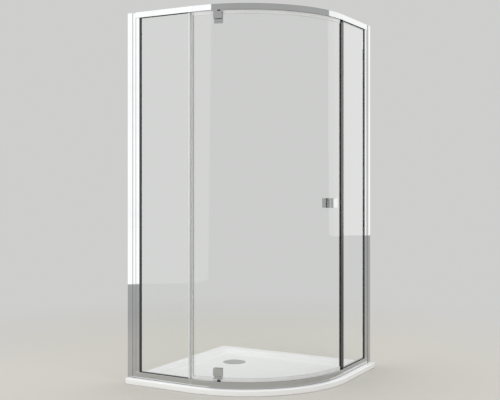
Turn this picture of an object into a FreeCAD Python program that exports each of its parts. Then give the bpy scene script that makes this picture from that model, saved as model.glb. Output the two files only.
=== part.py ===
import FreeCAD, Part
import math
import os
from FreeCAD import Vector

# Quadrant shower enclosure on its tray. Millimetres, +Z up. The origin is the centre of the tray's
# underside. The walls that it stands against are the planes x = -half_side and y = +half_side. The left
# panel faces -Y, the right panel faces +X, and the door is the quarter circle between them. A depth is
# measured inwards from the outer face of the rails, along the straight runs and along the curve alike.

# Tray
tray_side = 1000.0
tray_height = 30.0
tray_radius = 600.0            # front curve
tray_corner_radius = 14.0      # the three square corners, seen from above
tray_edge_round = 6.0          # top edge
tray_foot_height = 3.0         # shadow line at the floor
tray_foot_inset = 3.0
basin_rim = 66.0               # flat rim, from the edge of the tray
basin_slope = 34.0             # sloping border between the rim and the basin floor
basin_depth = 18.0
basin_corner_radius = 40.0

# Waste
drain_from_left_wall = 260.0
drain_from_back_wall = 308.0
cover_diameter = 120.0
cover_thickness = 3.0
cover_edge_round = 1.2
cover_ring_gap = 4.0           # water runs in around the cover
cover_foot_height = 2.0
cover_foot_radius = 4.0
cover_foot_count = 4
waste_recess_depth = 8.0
waste_hole_radius = 46.0
waste_gasket_thickness = 1.0
flange_thickness = 2.0
flange_side_gap = 2.0
spigot_wall = 3.5
spigot_gap = 0.5               # round the spigot, in the tray's hole
spigot_end_height = 0.5        # above the tray's underside
ledge_width = 6.0              # carries the strainer
strainer_thickness = 1.5
strainer_side_gap = 0.5
strainer_hole_radius = 2.6
strainer_hole_rings = ((14.0, 8), (24.0, 14), (33.0, 20))
strainer_stem_radius = 6.0

# Frame
frame_inset = 30.0             # outer face of the rails, from the edge of the tray
enclosure_height = 1900.0      # above the tray
rail_depth = 34.0
rail_wall = 2.0
bottom_rail_top = 32.0         # above the tray
top_rail_height = 30.0
joint_seal_height = 1.5
joint_seal_inset = 1.5
joint_before_arc = 10.0        # the rails are joined this far before the curve starts
joiner_reach = 40.0
joiner_gap = 0.2
clip_width = 18.0
clip_thickness = 1.0

wall_profile_width = 31.0
wall_hole_radius = 3.0
wall_hole_count = 4
wall_hole_spacing = 500.0
stile_visible = 19.0           # what shows beside the wall profile
stile_width = 32.0
stile_wall = 1.5
stile_gap = 0.3                # slides in the wall profile
cap_thickness = 3.0
cap_peg = 8.0
cap_peg_gap = 0.3

connector_length = 30.0
connector_gap = 0.2
end_screw_radius = 2.0
end_screw_head_radius = 3.8
end_screw_head = 2.4
end_screw_spacing = 14.0
end_screw_length = 22.0
lock_screw_radius = 2.0
lock_screw_head_radius = 4.0
lock_screw_head = 2.0
lock_screw_length = 9.0
lock_screw_count = 3
lock_screw_end = 170.0         # from each end of the profile
lock_cap_radius = 5.6
lock_cap_wall = 1.2
screw_clearance = 0.2

# Glazing
glass_depth = 8.0              # outer face of the glass
glass_thickness = 6.0
gasket_thickness = 1.0
groove_depth = 16.0            # glass channel in the straight rails
groove_bed = 2.0               # gasket under the glass edge
gasket_lip = 2.5               # stands out of the rail
gasket_lip_thickness = 1.2
glazing_profile_width = 22.0
glazing_profile_side = 3.0     # wall beside the glass channel
glazing_lip = 9.0              # dark line beside the profile
glazing_lip_thickness = 1.5
panel_to_arc = 18.0            # from the end of a fixed glass to the start of the curve
edge_seal_grip = 9.0
edge_seal_nose = 8.0
edge_seal_skin = 1.5
edge_fin_length = 16.0
edge_fin_gap = 0.5             # to the outer face of the door
edge_fin_thickness = 1.6
frame_seal_end_gap = 0.5

# Door
pivot_angle = 14.0             # degrees along the curve, from the left end of the door
door_glass_gap = 12.0          # glass edge to bottom rail and to top rail
seal_grip = 8.0
seal_web = 3.0
seal_skin = 1.0
seal_fin_gap = 0.6             # to the rail that it sweeps over
seal_end_angle = 0.8           # degrees, where a seal stops before the side edge of the door
edge_strip_thickness = 2.0
edge_strip_leg = 12.0
magnet_reach = 10.0            # past the start of the straight panel
magnet_grip = 8.0
magnet_gap = 0.5               # between the two magnet strips
magnet_skin = 5.0              # beside the glass
magnet_frame_grip = 6.0

clamp_width = 43.0
clamp_plate_height = 36.0
clamp_body_height = 58.0
clamp_plate = 10.0
clamp_body = 16.0
clamp_chamfer = 1.2
clamp_seal_gap = 2.5           # seals stop this far from a clamp
lower_clamp_rise = 7.0         # body above the bottom rail
upper_clamp_drop = 6.0         # body below the top rail
clamp_screw_radius = 2.5
clamp_screw_head_radius = 4.5
clamp_screw_head = 3.0
clamp_screw_spacing = 24.0
clamp_screw_bite = 7.0         # in the outer plate
glass_hole_radius = 5.0

pin_radius = 4.0
pin_fit = 0.05                 # radial running clearance in the bush
pin_in_body = 15.0
pin_in_rail = 17.0
bush_wall = 2.0
bush_flange_radius = 9.0
bush_flange = 3.7
bush_end_gap = 2.0
washer_thickness = 3.0
washer_radius = 8.0
grub_radius = 2.0
grub_height = 8.0              # above the end of the body
grub_end_gap = 0.1             # to the pin
block_width = 52.0
block_depth = 20.0
block_gap = 0.2
block_screw_radius = 2.0
block_screw_head_radius = 4.0
block_screw_head = 2.0
block_screw_length = 14.0
block_screw_spacing = 36.0

# Handle
handle_from_right_edge = 11.7  # degrees along the curve
handle_width = 60.0
handle_height = 49.0
handle_middle_height = 910.5   # above the tray
handle_projection = 30.0
handle_wall = 4.0
handle_base = 3.0
handle_bend = 7.0
handle_pad = 1.0
handle_screw_radius = 2.5
handle_screw_head_radius = 4.2
handle_screw_head = 2.5
handle_screw_spacing = 32.0
handle_screw_bite = 2.2        # in the outer grip's base

cut_margin = 2.0               # holes through curved faces run this far past them

# Worked out
half_side = tray_side / 2
centre_x = half_side - tray_radius
centre_y = -centre_x
face_line = half_side - frame_inset
face_radius = tray_radius - frame_inset

frame_bottom = tray_height + joint_seal_height
bottom_rail_z = tray_height + bottom_rail_top
frame_top = tray_height + enclosure_height
top_rail_z = frame_top - top_rail_height
profile_top = frame_top - cap_thickness

wall_profile_end = -half_side + wall_profile_width
rail_start = wall_profile_end + stile_visible
stile_start = rail_start - stile_width
glazing_end = rail_start + glazing_profile_width
glazing_slot = glazing_end - groove_depth
glass_start = glazing_slot + groove_bed
glass_end = centre_x - panel_to_arc
joint_x = centre_x - joint_before_arc

glass_inner = glass_depth + glass_thickness
groove_outer = glass_depth - gasket_thickness
groove_inner = glass_inner + gasket_thickness
edge_seal_end = glass_end + edge_seal_nose
rail_glass_bottom = bottom_rail_z - groove_depth + groove_bed
rail_glass_top = top_rail_z + groove_depth - groove_bed
frame_seal_bottom = bottom_rail_z + frame_seal_end_gap
frame_seal_top = top_rail_z - frame_seal_end_gap

door_bottom = bottom_rail_z + door_glass_gap
door_top = top_rail_z - door_glass_gap
hinge_angle = pivot_angle - 90.0
plate_inner = glass_depth - gasket_thickness
body_outer = glass_inner + gasket_thickness
body_inner = body_outer + clamp_body
pin_depth = body_outer + clamp_body / 2
lower_body_z = bottom_rail_z + lower_clamp_rise
lower_plate_z = lower_body_z + clamp_body_height - clamp_plate_height
upper_body_z = top_rail_z - upper_clamp_drop - clamp_body_height
upper_plate_z = upper_body_z + clamp_body_height - clamp_plate_height
bush_radius = pin_radius + bush_wall

handle_angle = -handle_from_right_edge
handle_z = tray_height + handle_middle_height - handle_height / 2
drain_x = -half_side + drain_from_left_wall
drain_y = half_side - drain_from_back_wall
basin_floor = tray_height - basin_depth


# Shapes
def radius_at(depth):
    return face_radius - depth


def on_arc(depth, angle, z=0.0):
    a = math.radians(angle)
    r = radius_at(depth)
    return Vector(centre_x + r * math.cos(a), centre_y + r * math.sin(a), z)


def outward(angle):
    a = math.radians(angle)
    return Vector(math.cos(a), math.sin(a), 0)


def along(angle):
    a = math.radians(angle)
    return Vector(-math.sin(a), math.cos(a), 0)


def angle_of(length, depth):
    return math.degrees(length / radius_at(depth))


def lies_at_depth(point, depth):
    reach = math.hypot(point.x - centre_x, point.y - centre_y)
    return abs(reach - radius_at(depth)) < 0.01


def box(x0, x1, y0, y1, z0, z1):
    return Part.makeBox(x1 - x0, y1 - y0, z1 - z0, Vector(x0, y0, z0))


def slab(x0, x1, d0, d1, z0, z1):
    """Block on the left straight run, between two depths."""
    return box(x0, x1, -face_line + d0, -face_line + d1, z0, z1)


def plan_solid(edges, z0, z1):
    face = Part.Face(Part.Wire(edges))
    face.translate(Vector(0, 0, z0))
    return face.extrude(Vector(0, 0, z1 - z0))


def arc_edge(depth, a0, a1):
    middle = on_arc(depth, (a0 + a1) / 2)
    return Part.Arc(on_arc(depth, a0), middle, on_arc(depth, a1)).toShape()


def line(p, q):
    return Part.LineSegment(p, q).toShape()


def sector(d0, d1, a0, a1, z0, z1):
    """Block on the curve, between two depths and two angles."""
    edges = [arc_edge(d0, a0, a1), line(on_arc(d0, a1), on_arc(d1, a1)),
             arc_edge(d1, a1, a0), line(on_arc(d1, a0), on_arc(d0, a0))]
    return plan_solid(edges, z0, z1)


def strip(d0, d1, x_start, z0, z1, end_angle=None):
    """Strip from the left straight run round the curve, to an angle or on to the right run."""
    y0 = -face_line + d0
    y1 = -face_line + d1
    last = 0.0 if end_angle is None else end_angle
    edges = [line(Vector(x_start, y0, 0), on_arc(d0, -90)), arc_edge(d0, -90, last)]
    if end_angle is None:
        edges.append(line(on_arc(d0, 0), Vector(-y0, -x_start, 0)))
        edges.append(line(Vector(-y0, -x_start, 0), Vector(-y1, -x_start, 0)))
        edges.append(line(Vector(-y1, -x_start, 0), on_arc(d1, 0)))
    else:
        edges.append(line(on_arc(d0, last), on_arc(d1, last)))
    edges.append(arc_edge(d1, last, -90))
    edges.append(line(on_arc(d1, -90), Vector(x_start, y1, 0)))
    edges.append(line(Vector(x_start, y1, 0), Vector(x_start, y0, 0)))
    return plan_solid(edges, z0, z1)


def radial_rod(radius, d0, d1, angle, side, z):
    """Rod across the glass at an angle of the curve, moved sideways along the chord."""
    start = on_arc(d0, angle, z) + along(angle) * side
    return Part.makeCylinder(radius, d1 - d0, start, outward(angle) * -1)


def post(radius, place, z0, z1):
    return Part.makeCylinder(radius, z1 - z0, Vector(place.x, place.y, z0))


def ring(inner, outer, place, z0, z1):
    return post(outer, place, z0, z1).cut(post(inner, place, z0, z1))


def other_side(shape):
    """The same piece on the other straight run."""
    return shape.mirror(Vector(0, 0, 0), Vector(1, 1, 0))


def joined(shapes):
    return shapes[0].fuse(shapes[1:]).removeSplitter()


def upright_edges(shape, depth):
    """The upright edges at a depth on the curve."""
    found = []
    for edge in shape.Edges:
        reach = edge.BoundBox
        upright = reach.ZLength > 1 and reach.XLength < 0.01 and reach.YLength < 0.01
        if upright and lies_at_depth(edge.Vertexes[0].Point, depth):
            found.append(edge)
    return found


def chamfered_face(shape, size, depth):
    """Takes the sharpness off the edges of the face that lies at a depth on the curve."""
    found = []
    for edge in shape.Edges:
        points = [v.Point for v in edge.Vertexes]
        points.append(edge.valueAt((edge.FirstParameter + edge.LastParameter) / 2))
        if all(lies_at_depth(p, depth) for p in points):
            found.append(edge)
    return shape.makeChamfer(size, found)


# Tray and waste
def tray_outline(inset, corner, z):
    """Square outline with one large front curve and three small corners."""
    side = half_side - inset
    curve = tray_radius - inset
    bend = corner * (1 - math.sqrt(0.5))
    low = Vector(centre_x, -side, z)
    high = Vector(side, centre_y, z)
    mid = Vector(centre_x + curve * math.sqrt(0.5), centre_y - curve * math.sqrt(0.5), z)
    corners = []
    for sx, sy in ((1, 1), (-1, 1), (-1, -1)):
        along_x = Vector(sx * (side - corner), sy * side, z)
        along_y = Vector(sx * side, sy * (side - corner), z)
        tip = Vector(sx * (side - bend), sy * (side - bend), z)
        first, last = (along_y, along_x) if sx == sy else (along_x, along_y)
        corners.append((first, tip, last))
    edges = [Part.Arc(low, mid, high).toShape()]
    here = high
    for first, tip, last in corners:
        edges.append(line(here, first))
        edges.append(Part.Arc(first, tip, last).toShape())
        here = last
    edges.append(line(here, low))
    return Part.Wire(edges)


def tray_slab(inset, corner, z0, z1):
    return Part.Face(tray_outline(inset, corner, z0)).extrude(Vector(0, 0, z1 - z0))


def shower_tray():
    body = tray_slab(0, tray_corner_radius, tray_foot_height, tray_height)
    rim_edges = [e for e in body.Edges if e.BoundBox.ZMin > tray_height - 0.01]
    body = body.makeFillet(tray_edge_round, rim_edges)
    foot = tray_slab(tray_foot_inset, tray_corner_radius - tray_foot_inset, 0, tray_foot_height)
    inner = basin_rim + basin_slope
    floor_corner = basin_corner_radius + basin_slope
    basin = Part.makeLoft([tray_outline(basin_rim, basin_corner_radius, tray_height),
                           tray_outline(inner, floor_corner, basin_floor)], True, True)
    place = Vector(drain_x, drain_y, 0)
    recess = post(cover_diameter / 2 + cover_ring_gap, place, basin_floor - waste_recess_depth, tray_height)
    hole = post(waste_hole_radius, place, 0, basin_floor)
    return joined([body, foot]).cut([basin, recess, hole])


def waste_parts():
    place = Vector(drain_x, drain_y, 0)
    seat = basin_floor - waste_recess_depth
    flange_z = seat + waste_gasket_thickness
    flange_top = flange_z + flange_thickness
    flange_radius = cover_diameter / 2 + cover_ring_gap - flange_side_gap
    spigot_outer = waste_hole_radius - spigot_gap
    spigot_inner = spigot_outer - spigot_wall
    gasket = ring(waste_hole_radius, flange_radius, place, seat, flange_z)
    ledge_inner = spigot_inner - ledge_width
    flange = joined([ring(spigot_inner, flange_radius, place, flange_z, flange_top),
                     ring(spigot_inner, spigot_outer, place, spigot_end_height, flange_z),
                     ring(ledge_inner, spigot_inner, place, flange_z - flange_thickness, flange_z)])
    cover_z = flange_top + cover_foot_height
    disc = post(cover_diameter / 2, place, cover_z, cover_z + cover_thickness)
    disc = disc.makeFillet(cover_edge_round, [e for e in disc.Edges if e.BoundBox.ZMin > cover_z + 0.1
                                              and e.BoundBox.XLength > cover_diameter / 2])
    feet = []
    foot_ring = (flange_radius + spigot_outer) / 2
    for i in range(cover_foot_count):
        a = math.radians(45 + 360.0 * i / cover_foot_count)
        spot = place + Vector(foot_ring * math.cos(a), foot_ring * math.sin(a), 0)
        feet.append(post(cover_foot_radius, spot, flange_top, cover_z))
    cover = joined([disc] + feet)
    strainer_top = flange_z + strainer_thickness
    strainer = joined([post(spigot_inner - strainer_side_gap, place, flange_z, strainer_top),
                       post(strainer_stem_radius, place, flange_z, cover_z)])
    holes = []
    for ring_radius, count in strainer_hole_rings:
        for i in range(count):
            a = 2 * math.pi * i / count
            spot = place + Vector(ring_radius * math.cos(a), ring_radius * math.sin(a), 0)
            holes.append(post(strainer_hole_radius, spot, flange_z, strainer_top))
    return {"waste_gasket": gasket, "waste_flange": flange, "drain_cover": cover,
            "hair_strainer": strainer.cut(holes)}


# Rails
def clip_recess(z0, z1):
    return slab(joint_x - clip_width / 2, joint_x + clip_width / 2, 0, clip_thickness, z0, z1)


def straight_rail(z0, z1, opens_up):
    """Extrusion with a glass channel, one wide chamber behind the channel and two narrow ones beside it."""
    wide = groove_depth + rail_wall
    if opens_up:
        groove_z = (z1 - groove_depth, z1)
        wide_z = (z0 + rail_wall, z1 - wide)
    else:
        groove_z = (z0, z0 + groove_depth)
        wide_z = (z0 + wide, z1 - rail_wall)
    inner_wall = rail_depth - rail_wall
    cuts = [slab(rail_start, joint_x, groove_outer, groove_inner, *groove_z),
            slab(rail_start, joint_x, rail_wall, inner_wall, *wide_z),
            slab(rail_start, joint_x, groove_inner + rail_wall, inner_wall, z0 + rail_wall, z1 - rail_wall),
            slab(rail_start, joint_x, rail_wall, groove_outer - rail_wall, z0 + rail_wall, z1 - rail_wall),
            clip_recess(z0, z1)]
    return slab(rail_start, joint_x, 0, rail_depth, z0, z1).cut(cuts)


def curved_rail(z0, z1, hinge_face_up):
    rail = strip(0, rail_depth, joint_x, z0, z1)
    chamber = strip(rail_wall, rail_depth - rail_wall, joint_x, z0 + rail_wall, z1 - rail_wall)
    recess = clip_recess(z0, z1)
    cuts = [chamber, recess, other_side(recess)]
    face_z = z1 if hinge_face_up else z0
    wall_z = (z1 - rail_wall, z1) if hinge_face_up else (z0, z0 + rail_wall)
    cuts.append(post(bush_radius, on_arc(pin_depth, hinge_angle), *wall_z))
    cuts += [block_screw(face_z, side, hinge_face_up) for side in screw_sides(block_screw_spacing)]
    return rail.cut(cuts)


def screw_sides(spacing):
    return (-spacing / 2, spacing / 2)


def block_screw(face_z, side, head_up):
    """Countersunk screw, flush with the face of the rail that the door passes."""
    place = on_arc(pin_depth, hinge_angle) + along(hinge_angle) * side
    way = -1 if head_up else 1
    start = Vector(place.x, place.y, face_z)
    head = Part.makeCone(block_screw_head_radius, block_screw_radius, block_screw_head,
                         start, Vector(0, 0, way))
    shank = Part.makeCylinder(block_screw_radius, block_screw_length, start, Vector(0, 0, way))
    return joined([head, shank])


def pivot_block(z0, z1, face_z, opens_up):
    """Insert in the rail that carries the bush and takes the screws."""
    half = angle_of(block_width / 2, pin_depth)
    inner = rail_depth - rail_wall - block_gap
    block = sector(inner - block_depth, inner, hinge_angle - half, hinge_angle + half,
                   z0 + rail_wall, z1 - rail_wall)
    cuts = [post(bush_radius, on_arc(pin_depth, hinge_angle), z0, z1)]
    cuts += [block_screw(face_z, side, opens_up) for side in screw_sides(block_screw_spacing)]
    return block.cut(cuts)


def pivot_bush(face_z, way):
    """Flanged bush: the flange lies on the rail, the sleeve reaches into the block."""
    place = on_arc(pin_depth, hinge_angle, face_z)
    reach = pin_in_rail + bush_end_gap
    flange = Part.makeCylinder(bush_flange_radius, bush_flange, place, Vector(0, 0, way))
    sleeve = Part.makeCylinder(bush_radius, reach, place, Vector(0, 0, -way))
    bore_start = place + Vector(0, 0, way * bush_flange)
    bore = Part.makeCylinder(pin_radius + pin_fit, reach + bush_flange, bore_start, Vector(0, 0, -way))
    return joined([flange, sleeve]).cut(bore)


def rail_joiner(z0, z1):
    """Plug inside both rails at a joint."""
    outer = rail_wall + joiner_gap
    inner = rail_depth - rail_wall - joiner_gap
    end_angle = -90 + angle_of(joiner_reach - joint_before_arc, 0)
    return strip(outer, inner, joint_x - joiner_reach, z0 + joiner_gap, z1 - joiner_gap, end_angle)


def both_sides(shape):
    return [shape, other_side(shape)]


def wide_chambers():
    """Height ranges of the chambers behind the glass channels, bottom rail first."""
    wide = groove_depth + rail_wall
    bottom = (frame_bottom + rail_wall, bottom_rail_z - wide)
    top = (top_rail_z + wide, frame_top - rail_wall)
    return (bottom, top)


def rail_parts():
    parts = {}
    bottom = straight_rail(frame_bottom, bottom_rail_z, True)
    top = straight_rail(top_rail_z, frame_top, False)
    parts["bottom_rail_left"] = bottom
    parts["bottom_rail_right"] = other_side(bottom)
    parts["bottom_rail_curved"] = curved_rail(frame_bottom, bottom_rail_z, True)
    parts["top_rail_left"] = top
    parts["top_rail_right"] = other_side(top)
    parts["top_rail_curved"] = curved_rail(top_rail_z, frame_top, False)
    joiners = []
    clips = []
    for z0, z1 in wide_chambers():
        joiners += both_sides(rail_joiner(z0, z1))
    for z0, z1 in ((frame_bottom, bottom_rail_z), (top_rail_z, frame_top)):
        clips += both_sides(clip_recess(z0, z1))
    parts["rail_joiners"] = Part.makeCompound(joiners)
    parts["rail_joint_clips"] = Part.makeCompound(clips)
    parts["tray_joint_seal"] = strip(joint_seal_inset, rail_depth - joint_seal_inset, -half_side,
                                     tray_height, frame_bottom)
    return parts


def pivot_seat_parts():
    screws = [block_screw(bottom_rail_z, side, True) for side in screw_sides(block_screw_spacing)]
    screws += [block_screw(top_rail_z, side, False) for side in screw_sides(block_screw_spacing)]
    return {"lower_pivot_block": pivot_block(frame_bottom, bottom_rail_z, bottom_rail_z, True),
            "upper_pivot_block": pivot_block(top_rail_z, frame_top, top_rail_z, False),
            "lower_pivot_bush": pivot_bush(bottom_rail_z, 1),
            "upper_pivot_bush": pivot_bush(top_rail_z, -1),
            "pivot_block_screws": Part.makeCompound(screws)}


# Profiles at the walls
def wall_profile():
    """Channel that is screwed to the wall, open towards the panel."""
    body = slab(-half_side, wall_profile_end, 0, rail_depth, frame_bottom, profile_top)
    channel = slab(-half_side + rail_wall, wall_profile_end, rail_wall, rail_depth - rail_wall,
                   frame_bottom, profile_top)
    cuts = [channel]
    middle_z = (frame_bottom + profile_top) / 2
    y = -face_line + rail_depth / 2
    for i in range(wall_hole_count):
        z = middle_z + (i - (wall_hole_count - 1) / 2) * wall_hole_spacing
        start = Vector(-half_side, y, z)
        cuts.append(Part.makeCylinder(wall_hole_radius, rail_wall, start, Vector(1, 0, 0)))
    cuts += [lock_rod(lock_screw_radius + screw_clearance, rail_depth - rail_wall, rail_depth, z)
             for z in lock_screw_heights()]
    return body.cut(cuts)


def lock_screw_heights():
    first = frame_bottom + lock_screw_end
    step = (profile_top - lock_screw_end - first) / (lock_screw_count - 1)
    return [first + i * step for i in range(lock_screw_count)]


def lock_rod(radius, d0, d1, z):
    """Rod across the lap of the stile and the wall profile."""
    x = (stile_start + wall_profile_end) / 2
    return Part.makeCylinder(radius, d1 - d0, Vector(x, -face_line + d0, z), Vector(0, 1, 0))


def frame_stile():
    d0 = rail_wall + stile_gap
    d1 = rail_depth - rail_wall - stile_gap
    body = slab(stile_start, rail_start, d0, d1, frame_bottom, profile_top)
    hollow = slab(stile_start + stile_wall, rail_start - stile_wall, d0 + stile_wall, d1 - stile_wall,
                  frame_bottom, profile_top)
    cuts = [hollow]
    cuts += [lock_rod(lock_screw_radius, d1 - stile_wall, d1, z) for z in lock_screw_heights()]
    for z in end_screw_heights():
        cuts += [end_rod(end_screw_radius + screw_clearance, rail_start - stile_wall, rail_start, side, z)
                 for side in screw_sides(end_screw_spacing)]
    return body.cut(cuts)


def end_screw_heights():
    return [(z0 + z1) / 2 for z0, z1 in wide_chambers()]


def end_rod(radius, x0, x1, side, z):
    start = Vector(x0, -face_line + rail_depth / 2 + side, z)
    return Part.makeCylinder(radius, x1 - x0, start, Vector(1, 0, 0))


def end_screw(side, z):
    """Screw from inside the stile into the connector."""
    head_x = rail_start - stile_wall
    return joined([end_rod(end_screw_head_radius, head_x - end_screw_head, head_x, side, z),
                   end_rod(end_screw_radius, head_x, head_x + end_screw_length, side, z)])


def end_connector(z0, z1):
    z = (z0 + z1) / 2
    block = slab(rail_start, rail_start + connector_length, rail_wall + connector_gap,
                 rail_depth - rail_wall - connector_gap, z0 + connector_gap, z1 - connector_gap)
    return block.cut([end_screw(side, z) for side in screw_sides(end_screw_spacing)])


def lock_screw(z):
    end = rail_depth + lock_screw_head - lock_screw_length
    return joined([lock_rod(lock_screw_head_radius, rail_depth, rail_depth + lock_screw_head, z),
                   lock_rod(lock_screw_radius, end, rail_depth, z)])


def lock_cap(z):
    """Snap-on cap over the head of a lock screw."""
    inside = rail_depth + lock_screw_head + screw_clearance
    shell = lock_rod(lock_cap_radius, rail_depth, inside + lock_cap_wall, z)
    return shell.cut(lock_rod(lock_cap_radius - lock_cap_wall, rail_depth, inside, z))


def profile_cap():
    """End cap over the wall profile and the stile, with a peg down inside the stile."""
    plate = slab(-half_side, rail_start, 0, rail_depth, profile_top, frame_top)
    side = rail_wall + stile_gap + stile_wall + cap_peg_gap
    peg_start = stile_start + stile_wall + cap_peg_gap
    peg_end = rail_start - stile_wall - end_screw_head - cap_peg_gap
    peg = slab(peg_start, peg_end, side, rail_depth - side, profile_top - cap_peg, profile_top)
    return joined([plate, peg])


def glazing_profile():
    """Channel beside the stile that grips the upright edge of the fixed glass."""
    z0, z1 = bottom_rail_z, top_rail_z
    body = slab(rail_start, glazing_end, groove_outer - glazing_profile_side,
                groove_inner + glazing_profile_side, z0, z1)
    return body.cut(slab(glazing_slot, glazing_end, groove_outer, groove_inner, z0, z1))


def fixed_glass():
    return slab(glass_start, glass_end, glass_depth, glass_inner, rail_glass_bottom, rail_glass_top)


def glazing_gasket():
    """Dark gasket between the glazing profile and the glass, with a lip on each face."""
    z0, z1 = bottom_rail_z, top_rail_z
    lip_end = glazing_end + glazing_lip
    shell = slab(glazing_slot, glazing_end, groove_outer, groove_inner, z0, z1)
    lips = slab(glazing_end, lip_end, groove_outer - glazing_lip_thickness,
                groove_inner + glazing_lip_thickness, z0, z1)
    return joined([shell, lips]).cut(slab(glass_start, lip_end, glass_depth, glass_inner, z0, z1))


def rail_gasket(groove_z, edge_z, lip_z):
    """Gasket round a glass edge in a rail: bed, two sides, and lips that stand out of the rail."""
    bed = slab(glass_start, glass_end, groove_outer, groove_inner, *sorted((groove_z, edge_z)))
    sides = slab(glass_start, glass_end, groove_outer, groove_inner, *sorted((edge_z, lip_z[0])))
    lips = slab(glazing_end + glazing_lip, glass_end - edge_seal_grip, groove_outer - gasket_lip_thickness,
                groove_inner + gasket_lip_thickness, *sorted(lip_z))
    glass = slab(glass_start, glass_end, glass_depth, glass_inner, *sorted((edge_z, lip_z[1])))
    return joined([bed, sides, lips]).cut(glass)


def rail_gaskets():
    low_lip = (bottom_rail_z, bottom_rail_z + gasket_lip)
    high_lip = (top_rail_z, top_rail_z - gasket_lip)
    low = rail_gasket(bottom_rail_z - groove_depth, rail_glass_bottom, low_lip)
    high = rail_gasket(top_rail_z + groove_depth, rail_glass_top, high_lip)
    return [low, high]


def hinge_side_seal():
    """Clear seal on the end of the left glass, with a fin that lies outside the edge of the door."""
    z0, z1 = frame_seal_bottom, frame_seal_top
    grip_start = glass_end - edge_seal_grip
    body = slab(grip_start, edge_seal_end, glass_depth - edge_seal_skin,
                glass_inner + edge_seal_skin, z0, z1)
    fin_inner = glass_depth - edge_fin_gap
    fin = slab(edge_seal_end - edge_seal_nose, edge_seal_end + edge_fin_length,
               fin_inner - edge_fin_thickness, fin_inner, z0, z1)
    return joined([body, fin]).cut(slab(grip_start, glass_end, glass_depth, glass_inner, z0, z1))


def frame_magnet_seal():
    """Dark magnet strip on the end of the right glass. Drawn on the left run, then moved across."""
    z0, z1 = frame_seal_bottom, frame_seal_top
    start = glass_end - magnet_frame_grip
    end = centre_x - magnet_reach - magnet_gap
    body = slab(start, end, glass_depth - magnet_skin, glass_inner + magnet_skin, z0, z1)
    return other_side(body.cut(slab(start, glass_end, glass_depth, glass_inner, z0, z1)))


def side_parts():
    parts = {}
    pairs = {"wall_profile": wall_profile(),
             "frame_stile": frame_stile(),
             "profile_cap": profile_cap(),
             "glazing_profile": glazing_profile(),
             "glazing_gasket": glazing_gasket(),
             "fixed_glass": fixed_glass()}
    for name, shape in pairs.items():
        parts["left_" + name] = shape
        parts["right_" + name] = other_side(shape)
    gaskets = rail_gaskets()
    parts["left_rail_gaskets"] = Part.makeCompound(gaskets)
    parts["right_rail_gaskets"] = Part.makeCompound([other_side(g) for g in gaskets])
    parts["left_edge_seal"] = hinge_side_seal()
    parts["right_magnet_seal"] = frame_magnet_seal()
    connectors = []
    end_screws = []
    for z0, z1 in wide_chambers():
        connectors += both_sides(end_connector(z0, z1))
        for side in screw_sides(end_screw_spacing):
            end_screws += both_sides(end_screw(side, (z0 + z1) / 2))
    parts["rail_end_connectors"] = Part.makeCompound(connectors)
    parts["rail_end_screws"] = Part.makeCompound(end_screws)
    lock_screws = []
    lock_caps = []
    for z in lock_screw_heights():
        lock_screws += both_sides(lock_screw(z))
        lock_caps += both_sides(lock_cap(z))
    parts["profile_lock_screws"] = Part.makeCompound(lock_screws)
    parts["lock_screw_caps"] = Part.makeCompound(lock_caps)
    return parts


# Door
def clamp_heights():
    """Height of the screws of each clamp, the lower one first."""
    return (lower_plate_z + clamp_plate_height / 2, upper_plate_z + clamp_plate_height / 2)


def clamp_rods(radius, d0, d1):
    return [radial_rod(radius, d0, d1, hinge_angle, side, z)
            for z in clamp_heights() for side in screw_sides(clamp_screw_spacing)]


def handle_rods(radius, d0, d1):
    z = handle_z + handle_height / 2
    return [radial_rod(radius, d0, d1, handle_angle, side, z) for side in screw_sides(handle_screw_spacing)]


def door_glass():
    glass = sector(glass_depth, glass_inner, -90, 0, door_bottom, door_top)
    outer = glass_depth - cut_margin
    inner = glass_inner + cut_margin
    holes = clamp_rods(glass_hole_radius, outer, inner)
    holes += handle_rods(glass_hole_radius, outer, inner)
    return glass.cut(holes)


def door_edge_strip():
    """Clear strip on the left edge of the door, with a leg on the inner face between the seals."""
    inner = glass_inner + seal_skin
    nose = slab(centre_x - edge_strip_thickness, centre_x, glass_depth, inner, door_bottom, door_top)
    leg_end = -90 + angle_of(edge_strip_leg, glass_inner)
    leg = sector(glass_inner, inner, -90, leg_end, door_bottom + seal_grip, door_top - seal_grip)
    return joined([nose, leg])


def door_magnet_seal():
    """Dark magnet strip on the right edge of the door."""
    d0 = glass_depth - magnet_skin
    d1 = glass_inner + magnet_skin
    grip = angle_of(magnet_grip, glass_depth)
    z0, z1 = door_bottom, door_top
    body = sector(d0, d1, -grip, 0, z0, z1).cut(sector(glass_depth, glass_inner, -grip, 0, z0, z1))
    nose = other_side(slab(centre_x - magnet_reach, centre_x, d0, d1, z0, z1))
    return joined([body, nose])


def sweep_seal(edge_z, rail_z, a0, a1):
    """Clear seal on the lower or upper edge of the door, with two fins that reach to the rail."""
    way = 1 if edge_z > rail_z else -1
    grip_z = edge_z + way * seal_grip
    web_z = edge_z - way * seal_web
    fin_z = rail_z + way * seal_fin_gap
    d0 = glass_depth - seal_skin
    d1 = glass_inner + seal_skin
    body = sector(d0, d1, a0, a1, *sorted((web_z, grip_z)))
    slot = sector(glass_depth, glass_inner, a0, a1, *sorted((edge_z, grip_z)))
    outer_fin = sector(d0, d0 + seal_skin, a0, a1, *sorted((fin_z, web_z)))
    inner_fin = sector(d1 - seal_skin, d1, a0, a1, *sorted((fin_z, web_z)))
    return joined([body.cut(slot), outer_fin, inner_fin])


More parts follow.
